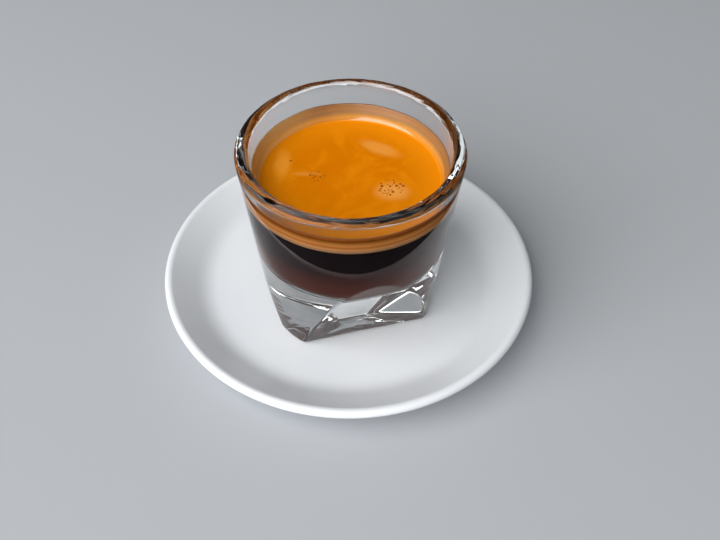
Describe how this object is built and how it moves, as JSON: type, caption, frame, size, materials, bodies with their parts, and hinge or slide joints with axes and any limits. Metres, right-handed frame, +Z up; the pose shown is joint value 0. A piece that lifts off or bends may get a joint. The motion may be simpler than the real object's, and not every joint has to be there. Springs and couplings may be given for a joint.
{
  "type": "double espresso in a glass on a saucer",
  "caption": "Double espresso with crema in a heavy small glass with a faceted foot, standing on a round white saucer.",
  "frame": {"origin": "on the table, under the middle of the saucer", "axes": "+Z up out of the saucer; -Y towards the viewer of the picture; +X to the viewer's right"},
  "size_m": [0.12, 0.12, 0.0689],
  "materials": {
    "porcelain": "glossy white glaze",
    "glass": "clear, smooth",
    "coffee": "black liquid behind the glass",
    "crema": "fine orange-brown foam, softly glossy"
  },
  "bodies": {
    "root": {"saucer": "porcelain", "glass": "glass", "coffee": "coffee", "crema": "crema"}
  },
  "joints": []
}
